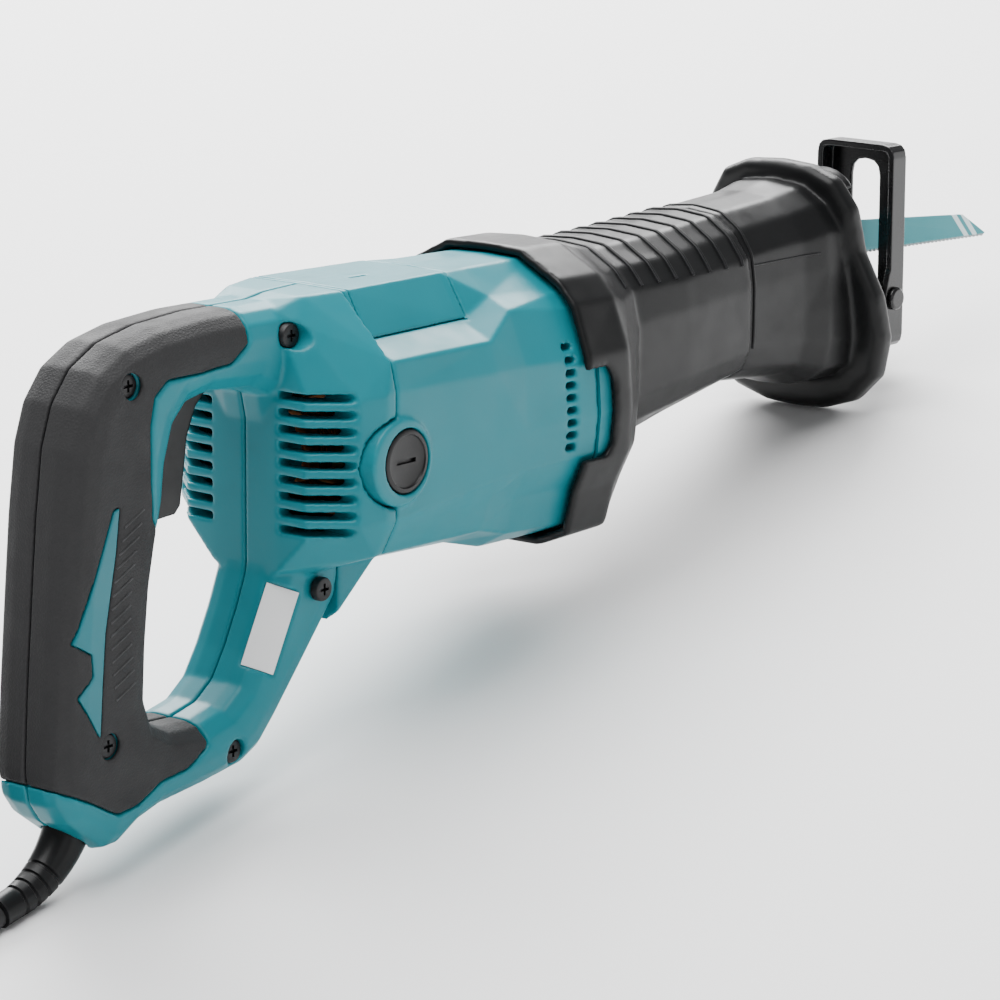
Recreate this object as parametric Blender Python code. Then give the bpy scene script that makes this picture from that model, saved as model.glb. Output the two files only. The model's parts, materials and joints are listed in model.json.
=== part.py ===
"""A corded reciprocating saw, modelled as the pieces it comes apart into.

Every shape is written in the saw's own frame, in millimetres: +X runs along the motor shaft towards
the blade, +Y is the saw's left, +Z is up, and the motor shaft passes through the origin at the
carbon brushes. The empty "saw" then pitches that frame nose down, so that the saw stands on a
surface at z = 0 on its nose guard and its cord guard, and turns millimetres into metres.
"""

import math

import bmesh
import bpy
from mathutils import Matrix, Vector

MM = 0.001
GAP = 0.3                       # between pieces that touch, mm
HALF_GAP = 0.15                 # each housing half stops this far from the middle plane

# How the saw stands
PITCH = math.radians(13.7)      # nose down
STAND_X = -110.25               # moves the middle of the saw's length over the origin, mm
STAND_Z = 94.05                 # lifts the nose guard's lowest edge to the surface, mm

# Handle frame, seen from the side as (x, z)
HANDLE_HALF = 17.5              # half its thickness
HANDLE_EDGE = 10.0              # how far its rounded edges reach in
HANDLE_OUTLINE = [
    (-12, 52), (-60, 52.5), (-82, 51), (-98, 47.5), (-110, 41), (-118, 31), (-122.5, 18),
    (-125.5, -4), (-128, -31), (-130.5, -60), (-132, -84), (-130.5, -94), (-126, -100.5),
    (-110.5, -112), (-103.5, -111.5), (-94, -106), (-84, -103), (-64, -100.5), (-46, -97.5),
    (-38, -93.5), (-30, -85), (-18, -71), (-7, -58), (3, -46), (8, -36), (0, -20), (-8, 10),
]
OPENING_OUTLINE = [
    (-60, 27), (-40, 25.5), (-32, 22), (-29.8, 12), (-29.2, -6), (-28.6, -26), (-30.5, -38),
    (-35, -49), (-41, -61), (-47, -70.5), (-55, -76.5), (-66, -79), (-79, -78.5), (-87, -74.5),
    (-90, -66), (-89, -48), (-87, -30), (-84, -16), (-81, -4), (-79.5, 8), (-76, 19), (-70, 25),
]
HOLLOW_OUTLINE = [              # the space inside the handle for the switch and the wires
    (-50, 46.5), (-80, 45.5), (-96, 42), (-105, 36.5), (-112, 27), (-116.5, 15), (-119.5, -5),
    (-122, -31), (-124.5, -60), (-125.5, -82), (-122.5, -92), (-110, -104), (-104, -104),
    (-94, -99.5), (-83, -97), (-64, -94.8), (-46, -92), (-42, -88), (-46, -82.5), (-66, -84.5),
    (-82, -83.5), (-93, -79), (-95.5, -66), (-94.5, -48), (-92, -30), (-89, -15), (-86, -4),
    (-85, 8), (-81, 22), (-72, 31.5), (-60, 33), (-50, 32),
]
HOLLOW_HALF = 11.5

# Soft grip moulded over the handle, and the coloured insert in it
GRIP_SKIN = 2.6
GRIP_OUTLINE = [
    (-46, 70), (-46, 42), (-54, 36.5), (-68, 35.5), (-83, 35.5), (-89, 31), (-91, 22),
    (-91, 4), (-90, -8), (-84, -15), (-78, -16), (-60, -24), (-60, -70), (-67, -75.5),
    (-65.5, -86), (-76, -91.5), (-88, -93), (-98, -98.5), (-108, -99.5), (-120, -93),
    (-132, -87.5), (-150, -84), (-160, 20), (-120, 80),
]
ACCENT_OUTLINE = [
    (-105, -1), (-108, -2), (-119, -28), (-125, -42), (-118.5, -46), (-118, -53), (-124, -59),
    (-115, -74), (-113.5, -56), (-112, -40), (-107, -16),
]

# Rear part of the motor casing, which the handle halves carry: corners as (x, y, z)
REAR_CASE = [
    (-30, 14, 50), (-29.5, 26, 24), (-29.5, 26, -24), (-30, 14, -36), (-18, 39.5, 22),
    (-18, 39.5, -20), (-9, 43.3, 23), (-9, 43.3, -18), (-9, 38, -31), (-20, 16, 53.5),
    (-4.3, 20, 53.8), (-4.3, 29, 38), (-4.3, 41, 33), (-4.3, 43.3, 23), (-4.3, 43.3, -19),
    (-4.3, 37, -31), (-4.3, 18, -37), (-30, 0, 52), (-4.3, 0, 54), (-4.3, 0, -40),
    (-26, 20, 46), (-30, 0, -44),
]
CASE_JOINT = -4.0               # x where the rear casing meets the motor housing
VENT_TOP = 22.5                 # z of the first of nine rear vents, and how they follow each other
VENT_PITCH = 5.5
VENT_HALF = 1.3
VENT_START = 14.3               # how far from the middle they start
VENT_END = -18.0                # x where they end on the side
BOSS = 15.0                     # radius and x of the raised ring round each brush cap
BOSS_X = -2.5
CAP_RADIUS = 10.7
CAP_NECK = 7.5
FRONT_VENT_TOP = 25.0
FRONT_VENT_PITCH = 4.25

# Motor housing sections as (x, [(y, z) from the top round to the bottom])
MOTOR_SECTIONS = [
    (-4.0, [(0, 54), (20, 53.8), (29, 38), (41, 33), (43.3, 23), (43, 0), (43, -19),
            (40.5, -24), (37, -31), (18, -37.5), (0, -40.5)]),
    (46.0, [(0, 53.5), (18, 53), (27.5, 38), (40.5, 32.5), (43.5, 22), (43, 0), (43, -14),
            (40.5, -20), (36.5, -32), (20, -38.5), (0, -40.5)]),
    (62.0, [(0, 53), (15, 52.2), (26, 44), (35, 40), (42.5, 22), (43.5, 0), (43, -13),
            (37, -24), (34.5, -36), (22, -42.5), (0, -42.5)]),
    (99.0, [(0, 52), (14, 51.5), (30, 42.5), (36, 36), (43, 20), (44.5, 0), (43, -13),
            (37.5, -24), (34, -38), (22, -43), (0, -43)]),
]
BORE = 37.6                     # radius of the space for the motor

# Front cover: collar over the joint, then the sleeve over the gear housing
COVER_WALL = 3.0
COVER_SECTIONS = [
    (90.0, [(0, 56), (16, 55.5), (33.5, 46.5), (40.5, 39), (47, 21), (48.5, 1), (47, -14),
            (41.5, -26), (38, -41), (25, -46.5), (0, -47)]),
    (112.0, [(0, 56), (16, 55), (33, 46), (40, 38.5), (47, 21), (48.5, 1), (47, -14),
             (41, -26), (37, -41), (24, -46), (0, -46.5)]),
    (122.0, [(0, 53), (15, 52), (29, 44), (37, 36), (42, 20), (43.5, 2), (42, -13),
             (36, -25), (31, -37), (20, -41), (0, -41.5)]),
    (134.0, [(0, 51), (14, 50), (25, 44), (31, 37), (34, 25), (34, 10), (33.5, 0),
             (30, -10), (23, -17), (12, -21), (0, -22)]),
    (165.0, [(0, 52), (14, 51), (24.5, 44.5), (30.5, 37), (33, 26), (33, 12), (32.5, 2),
             (29, -6), (22, -11), (12, -14), (0, -15)]),
    (205.0, [(0, 54.5), (13, 53.3), (22, 47.5), (28.5, 39), (30.5, 28), (30.5, 14), (30, 6),
             (27, -1), (20, -5), (11, -8), (0, -9)]),
]

# Nose guard: a sleeve that flares into the flange that stops the hand
GUARD_SECTIONS = [
    (205.3, [(0, 54.5), (12, 53.2), (20.5, 47.5), (26, 39), (27.5, 28), (27.5, 14), (27.3, 6),
             (25, -2), (19, -6), (10, -8.5), (0, -9)]),
    (240.0, [(0, 56.5), (12, 55.2), (21, 49.5), (26.8, 41), (28, 29), (28, 14), (27.8, 4),
             (25.5, -5), (19, -9), (10, -11.5), (0, -12)]),
    (252.0, [(0, 59), (13, 57.5), (22.5, 51.5), (28.5, 42.5), (30, 29), (31, 14), (31, 2),
             (28.5, -8), (21, -13.5), (11, -16), (0, -16.5)]),
]
FLANGE_OUTLINE = [(0, 66), (14, 65), (25, 60.5), (32, 50), (34, 34), (41, 18), (43, 2),
                  (38.5, -13), (27, -23.5), (13, -28), (0, -28.6)]
FLANGE_REAR = 257.5             # x of its rear face at the top edge
FLANGE_THICK = 10.0
FLANGE_LEAN = 0.149             # how far it runs forward for each mm down

# Drive: motor shaft on the x axis, crank gear on an upright post, blade rod above both
PINION_TEETH = 8
GEAR_TEETH = 40
GEAR_X = 150.0
GEAR_PITCH = 22.0
PINION_PITCH = GEAR_PITCH * PINION_TEETH / GEAR_TEETH
TOOTH_OUT = 1.1
TOOTH_IN = 1.4
CRANK_RADIUS = 15.0             # half the blade's stroke
ROD_Z = 34.0
ROD_RADIUS = 7.5
SHAFT_RADIUS = 4.0
BEARING_REAR = 9.5              # outer radius of the shaft's bearings
FRONT_BEARING = 12.5
POST_RADIUS = 4.9
NOSE = [(-17, 8), (-13, -2), (13, -2), (17, 8), (17, 36), (9, 46), (-9, 46), (-17, 36)]

# Shoe
PIVOT = (312.0, 9.0)            # x, z of the shoe's hinge
BAR_Z = (3.0, 8.0)              # the flat bar that carries the shoe
BAR_HALF = 10.0

# Trigger
TRIGGER_PIVOT = (-74.0, 28.5)
LOCK_BUTTON = (-98.0, 12.0)     # x, z of the button that holds the trigger in

# Screws through the handle halves: x, z and how far out the head sits on the right side
HANDLE_SCREWS = [(-98.5, 35.5, 10.0), (-110.5, -77.0, 10.0), (-52.5, -91.0, 11.0),
                 (-14.5, -43.5, 18.0), (-27.5, 42.0, 14.0)]
SCREW_HEAD = 3.7
SCREW_SHANK = 1.9
HEAD_HOLE = 4.3
LUG_SCREWS = [(29.0, 38.0), (-29.0, 38.0), (29.0, -34.0), (-29.0, -34.0)]

# Supply cord, laid on the surface behind the saw; places here are world metres
CORD_DIAMETER = 0.008
CORD_ROUTE = [(-0.2807, 0.0, 0.0048), (-0.2915, 0.0, 0.0043), (-0.301, 0.0006, 0.0042),
              (-0.310, 0.002, 0.0042), (-0.319, 0.0033, 0.0042)]
COIL_CENTRE = (-319.0, 62.0)    # mm, like what follows
COIL_RADII = (29.7, 54.3)
COIL_HEIGHT = 24.6
GUARD_ROOT = (-114.0, -107.0)   # x, z where the cord guard leaves the handle
GUARD_WAY = (-0.49, -0.872)
GUARD_RADII = (7.6, 5.2)        # at its root and tip


# ---------------------------------------------------------------- scene helpers

def clear_scene():
    for item in list(bpy.data.objects):
        bpy.data.objects.remove(item, do_unlink=True)


def finish(name, colour, roughness, metallic=0.0):
    """A material: one Principled shader with the piece's own colour."""
    made = bpy.data.materials.new(name)
    made.use_nodes = True
    shader = made.node_tree.nodes["Principled BSDF"]
    shader.inputs["Base Color"].default_value = (*colour, 1.0)
    shader.inputs["Roughness"].default_value = roughness
    shader.inputs["Metallic"].default_value = metallic
    return made


def empty(name, place, parent=None):
    """A frame at place, given in the saw's frame, that pieces can hang from."""
    made = bpy.data.objects.new(name, None)
    bpy.context.collection.objects.link(made)
    made.parent = parent
    made["place"] = place
    base = parent["place"] if parent else (0, 0, 0)
    made.location = [(v - b) * MM for v, b in zip(place, base)]
    return made


def bent(face):
    """Whether a face's corners leave its plane, which a Boolean takes badly."""
    return any(abs((corner.co - face.verts[0].co).dot(face.normal)) > 1e-7 for corner in face.verts)


def new_object(name, points, faces, body):
    """A mesh object whose points are given in the saw's frame, in mm, hung from body."""
    base = Vector(body["place"]) if body else Vector()
    mesh = bpy.data.meshes.new(name)
    mesh.from_pydata([(Vector(p) - base) * MM for p in points], [], faces)
    mesh.validate()
    work = bmesh.new()
    work.from_mesh(mesh)
    bmesh.ops.triangulate(work, faces=[face for face in work.faces if bent(face)])
    bmesh.ops.recalc_face_normals(work, faces=work.faces)
    work.to_mesh(mesh)
    work.free()
    made = bpy.data.objects.new(name, mesh)
    bpy.context.collection.objects.link(made)
    made.parent = body
    return made


def solid(name, shape, material, body=None, smooth=None):
    """A visible piece. smooth is the angle, in degrees, above which its edges stay sharp."""
    made = new_object(name, *shape, body or BODIES["saw"])
    made.data.materials.append(MATERIALS[material])
    if smooth:
        made.data.shade_smooth()
        made.data.set_sharp_from_angle(angle=math.radians(smooth))
    return made


def boolean(target, shape, operation):
    """Joins shape to target, cuts it away, or keeps only what is inside it."""
    tool = new_object(f"{target.name}_{operation.lower()}_{len(target.modifiers)}", *shape, target.parent)
    tool.hide_render = True
    tool.display_type = "WIRE"
    change = target.modifiers.new(tool.name, "BOOLEAN")
    change.operation = operation
    change.solver = "EXACT"
    change.object = tool


def join(target, *shapes):
    for shape in shapes:
        boolean(target, shape, "UNION")


def cut(target, *shapes):
    for shape in shapes:
        boolean(target, shape, "DIFFERENCE")


def keep_inside(target, shape):
    boolean(target, shape, "INTERSECT")


# ---------------------------------------------------------------- shapes: each returns points, faces

def from_bmesh(work):
    work.verts.ensure_lookup_table()
    work.verts.index_update()
    points = [tuple(v.co) for v in work.verts]
    faces = [[v.index for v in face.verts] for face in work.faces]
    work.free()
    return points, faces


def hull(points):
    """The convex solid round points."""
    work = bmesh.new()
    for point in points:
        work.verts.new(point)
    made = bmesh.ops.convex_hull(work, input=work.verts)
    unused = set(made["geom_interior"] + made["geom_unused"])
    bmesh.ops.delete(work, geom=[v for v in unused if isinstance(v, bmesh.types.BMVert)], context="VERTS")
    return from_bmesh(work)


def together(shapes):
    """Several shapes that don't touch, as one cutter."""
    points, faces = [], []
    for more_points, more_faces in shapes:
        faces += [[i + len(points) for i in face] for face in more_faces]
        points += more_points
    return points, faces


def box(low, high):
    corners = [(x, y, z) for x in (low[0], high[0]) for y in (low[1], high[1]) for z in (low[2], high[2])]
    faces = [(0, 1, 3, 2), (4, 6, 7, 5), (0, 4, 5, 1), (2, 3, 7, 6), (0, 2, 6, 4), (1, 5, 7, 3)]
    return corners, faces


def loft(loops):
    """A solid through closed loops of equal length, capped at both ends."""
    count = len(loops[0])
    points = [p for loop in loops for p in loop]
    faces = [tuple(reversed(range(count))), tuple(range(len(points) - count, len(points)))]
    for k in range(len(loops) - 1):
        for i in range(count):
            j = (i + 1) % count
            faces.append((k * count + i, k * count + j, (k + 1) * count + j, (k + 1) * count + i))
    return points, faces


def prism(outline, low, high, axis="y"):
    """An outline extruded along axis. The outline is (x, z), (y, z) or (x, y), whichever is left."""
    def place(p, along):
        return {"x": (along, p[0], p[1]), "y": (p[0], along, p[1]), "z": (p[0], p[1], along)}[axis]
    return loft([[place(p, low) for p in outline], [place(p, high) for p in outline]])


def section_loft(sections, grow=0.0, ends=(0.0, 0.0)):
    """A body along X from half sections, mirrored, each offset outwards by grow. ends lengthens it."""
    loops = []
    for k, (x, half) in enumerate(sections):
        ring = half + [(-y, z) for y, z in reversed(half) if y > 0]
        if grow:
            ring = offset(ring, grow)
        if k == 0:
            x -= ends[0]
        elif k == len(sections) - 1:
            x += ends[1]
        loops.append([(x, y, z) for y, z in ring])
    return loft(loops)


def turned(profile, centre, along, steps=24):
    """A solid turned round the line through centre along a direction. The profile is (distance along,
    radius), a closed outline; a radius of 0 lies on the line."""
    frame = Vector(along).to_track_quat("Z", "Y").to_matrix()
    points, rings = [], []
    for distance, radius in profile:
        if radius == 0:
            rings.append([len(points)] * steps)
            points.append(Vector(centre) + frame @ Vector((0, 0, distance)))
            continue
        rings.append(list(range(len(points), len(points) + steps)))
        for k in range(steps):
            turn = math.tau * (k + 0.5) / steps
            local = Vector((radius * math.cos(turn), radius * math.sin(turn), distance))
            points.append(Vector(centre) + frame @ local)
    faces = []
    for a, b in zip(rings, rings[1:] + rings[:1]):
        for k in range(steps):
            j = (k + 1) % steps
            corners = list(dict.fromkeys((a[k], b[k], b[j], a[j])))
            if len(corners) > 2:
                faces.append(corners)
    return [tuple(p) for p in points], faces


def rod(start, end, radius, steps=20):
    """A plain round bar between two points."""
    length = (Vector(end) - Vector(start)).length
    profile = [(0, 0), (0, radius), (length, radius), (length, 0)]
    return turned(profile, start, Vector(end) - Vector(start), steps)


def ring(start, end, inner, outer, steps=24):
    """A tube between two points."""
    length = (Vector(end) - Vector(start)).length
    profile = [(0, inner), (0, outer), (length, outer), (length, inner)]
    return turned(profile, start, Vector(end) - Vector(start), steps)


def offset(outline, distance):
    """Moves a closed outline outwards by distance, or inwards when it is negative."""
    area = sum(a[0] * b[1] - b[0] * a[1] for a, b in zip(outline, outline[1:] + outline[:1]))
    side = 1 if area > 0 else -1
    moved = []
    for before, here, after in zip(outline[-1:] + outline[:-1], outline, outline[1:] + outline[:1]):
        normals = []
        for a, b in ((before, here), (here, after)):
            run = Vector((b[0] - a[0], b[1] - a[1])).normalized()
            normals.append(Vector((run.y, -run.x)) * side)
        middle = (normals[0] + normals[1]).normalized()
        reach = distance / max(middle.dot(normals[0]), 0.5)
        moved.append((here[0] + middle.x * reach, here[1] + middle.y * reach))
    return moved


def ring_face(work, outer, inner):
    """Fills the flat space between two closed loops of vertices with triangles."""
    edges = [work.edges.get((a, b)) or work.edges.new((a, b))
             for loop in (outer, inner) for a, b in zip(loop, loop[1:] + loop[:1])]
    bmesh.ops.triangle_fill(work, use_beauty=True, use_dissolve=False, edges=edges)


def rounded_frame(half, edge, inset=0.0, start=HALF_GAP, side=1):
    """Half of the handle's frame: the side outline less the hand opening, with rounded edges.
    inset makes it smaller all round, in the outline and in thickness."""
    half -= inset
    edge -= inset
    steps = [(0.0, start), (0.0, half - edge)]
    steps += [(edge * (1 - math.cos(a)), half - edge + edge * math.sin(a))
              for a in (math.radians(30), math.radians(60), math.radians(90))]
    work = bmesh.new()
    levels = []
    for reach, y in steps:
        loops = (offset(HANDLE_OUTLINE, -inset - reach), offset(OPENING_OUTLINE, inset + reach))
        levels.append([[work.verts.new((x, side * y, z)) for x, z in loop] for loop in loops])
    for low, high in zip(levels, levels[1:]):
        for a, b in zip(low, high):
            for k in range(len(a)):
                j = (k + 1) % len(a)
                work.faces.new((a[k], a[j], b[j], b[k]))
    ring_face(work, *levels[0])
    ring_face(work, *levels[-1])
    return from_bmesh(work)


def rounded_outline(outline, radius, steps=3):
    """Replaces each corner of an outline with an arc."""
    made = []
    for before, here, after in zip(outline[-1:] + outline[:-1], outline, outline[1:] + outline[:1]):
        corner = Vector(here)
        to_before = (Vector(before) - corner).normalized()
        to_after = (Vector(after) - corner).normalized()
        start = corner + to_before * radius
        end = corner + to_after * radius
        for k in range(steps + 1):
            t = k / steps
            made.append(tuple(start.lerp(corner, t).lerp(corner.lerp(end, t), t)))
    return made


def slab_outline(low, high):
    return [(low[0], low[1]), (high[0], low[1]), (high[0], high[1]), (low[0], high[1])]


# ---------------------------------------------------------------- handle and rear casing

def screw_path(x, z, head):
    """The hole for a handle screw: a wide counterbore on the right and a narrow hole to the left."""
    shank = SCREW_SHANK + GAP
    profile = [(0, 0), (0, HEAD_HOLE), (60 - head, HEAD_HOLE), (60 - head, shank), (70, shank), (70, 0)]
    return turned(profile, (x, -60, z), (0, 1, 0), 12)


def motor_bay():
    """The hollow behind the motor, with a boss left standing for the rear bearing."""
    profile = [(-15, 0), (-15, 12.6), (-24, 12.6), (-24, 23), (-16, 35.5), (-2, BORE), (-2, 0)]
    return turned(profile, (0, 0, 0), (1, 0, 0), 28)


def rear_vents(side):
    """Nine slots that run from the rear wall round its corner."""
    low, high = sorted((side * VENT_START, side * 50))
    heights = [VENT_TOP - VENT_PITCH * k for k in range(9)]
    return together([box((-36, low, z - VENT_HALF), (VENT_END, high, z + VENT_HALF)) for z in heights])


def button_path():
    return rod((LOCK_BUTTON[0], 5, LOCK_BUTTON[1]), (LOCK_BUTTON[0], 30, LOCK_BUTTON[1]), 4.2 + GAP, 20)


def along_guard(distance):
    """A point on the straight line on which the cord guard leaves the handle."""
    return (GUARD_ROOT[0] + distance * GUARD_WAY[0], 0, GUARD_ROOT[1] + distance * GUARD_WAY[1])


def handle_half(name, side):
    shell = solid(name, rounded_frame(HANDLE_HALF, HANDLE_EDGE, side=side), "teal_plastic", smooth=35)
    cut(shell, prism(offset(GRIP_OUTLINE, GAP), -30, 30))
    join(shell, rounded_frame(HANDLE_HALF, HANDLE_EDGE, GRIP_SKIN, side=side))
    corners = [(x, side * max(y, HALF_GAP), z) for x, y, z in REAR_CASE]
    join(shell, hull(corners + [(x, side * HALF_GAP, z) for x, y, z in REAR_CASE]))
    cut(shell, prism(HOLLOW_OUTLINE, -HOLLOW_HALF, HOLLOW_HALF), motor_bay(), rear_vents(side))
    cut(shell, box((CASE_JOINT - GAP, -60, -80), (40, 60, 70)))
    cut(shell, turned([(34, 0), (34, BOSS + GAP), (60, BOSS + GAP), (60, 0)],
                      (BOSS_X, 0, 0), (0, side, 0), 28))
    cut(shell, rod((-22.5, 0, 0), (-14, 0, 0), BEARING_REAR + GAP, 24))
    cut(shell, box((-90, -6.3, -14), (-50, 6.3, 34)))
    if side > 0:
        cut(shell, button_path())
    else:
        cut(shell, on_arm((-6, -5.5 - GAP, -14 - GAP), (2.1 + GAP, 5.5 + GAP, 14 + GAP)))
    for x, z, head in HANDLE_SCREWS:
        cut(shell, screw_path(x, z, head))
    cut(shell, rod(along_guard(-16), along_guard(20), GUARD_RADII[0] + GAP, 16))
    return shell


def grip_half(name, side):
    """The soft skin over the handle, and the hard insert let into it."""
    skins = []
    for node, material, region in ((f"grip_{name}", "soft_grip", GRIP_OUTLINE),
                                   (f"grip_accent_{name}", "teal_insert", offset(ACCENT_OUTLINE, -GAP))):
        skin = solid(node, rounded_frame(HANDLE_HALF, HANDLE_EDGE, side=side), material, smooth=35)
        keep_inside(skin, prism(region, -30, 30))
        cut(skin, rounded_frame(HANDLE_HALF, HANDLE_EDGE, GRIP_SKIN - GAP, start=-5, side=side))
        skins.append(skin)
    cut(skins[0], prism(ACCENT_OUTLINE, -30, 30))
    if side > 0:
        cut(skins[0], button_path())
    for x, z, head in HANDLE_SCREWS[:2]:
        cut(skins[0], screw_path(x, z, head))
    cut(skins[0], rod(along_guard(-16), along_guard(20), GUARD_RADII[0] + GAP, 16))


def handle_screws():
    for number, (x, z, head) in enumerate(HANDLE_SCREWS, 1):
        profile = [(0, 0), (0, SCREW_HEAD), (2.6, SCREW_HEAD), (2.6, SCREW_SHANK),
                   (head + 8.5, SCREW_SHANK), (head + 8.5, 0)]
        solid(f"handle_screw_{number}", turned(profile, (x, -head - 2.9, z), (0, 1, 0), 12),
              "dark_steel", smooth=35)


def on_arm(low, high):
    """A box on the arm's rear right rounding. Its x runs into the arm and its z up along the arm."""
    frame = Matrix.Translation((-33.9, -14.6, -53.8)) @ Matrix.Rotation(math.radians(27), 4, "Y")
    frame = frame @ Matrix.Rotation(math.radians(45), 4, "Z")
    points, faces = box(low, high)
    return [tuple(frame @ Vector(p)) for p in points], faces


def label_plate():
    """A blank plate let into the arm."""
    solid("label_plate", on_arm((1.2, -5.5, -14), (2.1, 5.5, 14)), "label")


# ---------------------------------------------------------------- motor housing and front covers

def motor_housing():
    housing = solid("motor_housing", section_loft(MOTOR_SECTIONS), "teal_plastic", smooth=30)
    cut(housing, rod((-9, 0, 0), (110, 0, 0), BORE, 40))
    cut(housing, box((-9, -15, 30), (84, 15, 49)))
    for side in (-1, 1):
        boss = [(36.9, 0), (36.9, BOSS), (44.6, BOSS - 0.6), (44.6, 0)]
        join(housing, turned(boss, (BOSS_X, 0, 0), (0, side, 0), 28))
        cap_hole = [(30, 0), (30, CAP_NECK + GAP), (39.7, CAP_NECK + GAP), (39.7, CAP_RADIUS + GAP),
                    (60, CAP_RADIUS + GAP), (60, 0)]
        cut(housing, turned(cap_hole, (0, 0, 0), (0, side, 0), 28))
        low, high = sorted((side * 30, side * 60))
        heights = [FRONT_VENT_TOP - FRONT_VENT_PITCH * k for k in range(9)]
        cut(housing, together([box((83, low, z - 1.1), (88.5, high, z + 1.1)) for z in heights]))
    chin = [(-3.8, -34), (-3.8, -57.5), (3.5, -50), (13, -43), (20, -36)]
    flanks = [(-3.8, -34), (-3.8, -53.5), (1.0, -49), (10, -41), (17, -36)]
    join(housing, hull([(x, y, z) for x, z in chin for y in (-12, 12)]
                       + [(x, y, z) for x, z in flanks for y in (-17.5, 17.5)]))
    for y, z in LUG_SCREWS:
        cut(housing, rod((66, y, z), (105, y, z), SCREW_SHANK + GAP, 12))
    cut(housing, top_panel_region(GAP))
    return housing


def top_panel_region(grow):
    """Where the inset panel lies: over the roof and down both steep sides."""
    outline = [(31, 38.4), (31, 60), (-31, 60), (-31, 38.4), (-23.6, 38.4), (-16.4, 50.8), (16.4, 50.8),
               (23.6, 38.4)]
    return prism(offset(outline, grow), -1.5 - grow, 49 + grow, axis="x")


def top_panel():
    panel = solid("top_panel", section_loft(MOTOR_SECTIONS), "teal_plastic", smooth=30)
    keep_inside(panel, top_panel_region(0))
    cut(panel, box((16, -5.2, 52.6), (25, -4.0, 60)))


def front_cover():
    cover = solid("front_cover", section_loft(COVER_SECTIONS), "black_rubber", smooth=30)
    cut(cover, section_loft(COVER_SECTIONS, -COVER_WALL, (3, 3)))
    notch = [(80, 17), (101, 17), (104, 12), (104, -10), (101, -14), (80, -14)]
    for side in (-1, 1):
        low, high = sorted((side * 36, side * 60))
        cut(cover, prism(notch, low, high))


def both_sides(half):
    """A closed outline from a half section."""
    return half + [(-y, z) for y, z in reversed(half) if y > 0]


def leaning(outline, x):
    """Places an outline so that it runs forward towards its lower edge."""
    return [(x + FLANGE_LEAN * (66 - z), y, z) for y, z in outline]


def nose_guard():
    sleeve = [[(x, y, z) for y, z in both_sides(half)] for x, half in GUARD_SECTIONS]
    sleeve.append(leaning(both_sides(GUARD_SECTIONS[-1][1]), FLANGE_REAR + 4))
    guard = solid("nose_guard", loft(sleeve), "black_rubber", smooth=30)
    steps = ((0, 2.5), (2.2, 0), (FLANGE_THICK - 2.2, 0), (FLANGE_THICK, 2.5))
    join(guard, loft([leaning(offset(both_sides(FLANGE_OUTLINE), -inset), FLANGE_REAR + forward)
                      for forward, inset in steps]))
    join(guard, turned([(0, 0), (0, 16.0), (33, 14.5), (36, 12), (36, 0)], (258, 0, 45.5), (1, 0, 0), 28))
    cut(guard, prism(offset(NOSE, GAP), 195, 330, axis="x"))
    cut(guard, rod((264, 0, 44), (320, 0, 44), 12.6, 28), box((275, -30, 20), (320, 30, 52.5)))


# ---------------------------------------------------------------- gear housing

def gear_housing():
    """The casting inside the front cover: gear chamber, bearing seat and the nose that guides the rod."""
    inner = COVER_WALL + GAP
    sections = [(99.3, COVER_SECTIONS[1][1])] + COVER_SECTIONS[1:]
    casting = solid("gear_housing", section_loft(sections, -inner), "cast_alloy", smooth=30)
    join(casting, prism(NOSE, 200, 263, axis="x"))
    cut(casting, section_loft([(120.5, COVER_SECTIONS[3][1]), (180, COVER_SECTIONS[4][1])], -inner - 3.2))
    join(casting, rod((GEAR_X, 0, -12.4), (GEAR_X, 0, -6.2), 9.0, 21))
    cut(casting, rod((175, 0, ROD_Z), (270, 0, ROD_Z), ROD_RADIUS + 2.5, 28))
    cut(casting, rod((90, 0, 0), (125, 0, 0), 9.0, 24), rod((90, 0, 0), (113, 0, 0), FRONT_BEARING + GAP, 24))
    cut(casting, box((185, -BAR_HALF - GAP, BAR_Z[0] - GAP), (270, BAR_HALF + GAP, BAR_Z[1] + GAP)))
    cut(casting, rod((GEAR_X, 0, -8.3), (GEAR_X, 0, 0), POST_RADIUS + GAP, 16))
    for y, z in LUG_SCREWS:
        cut(casting, rod((98, y, z), (109, y, z), SCREW_SHANK + GAP, 12))
        cut(casting, rod((106, y, z), (140, y, z), SCREW_HEAD + GAP, 12))
    for number, (y, z) in enumerate(LUG_SCREWS, 1):
        profile = [(0, 0), (0, SCREW_SHANK), (33.7, SCREW_SHANK), (33.7, SCREW_HEAD - 0.1),
                   (37, SCREW_HEAD - 0.1), (37, 0)]
        solid(f"lug_screw_{number}", turned(profile, (72.6, y, z), (1, 0, 0), 12), "dark_steel", smooth=35)


# ---------------------------------------------------------------- motor

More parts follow.
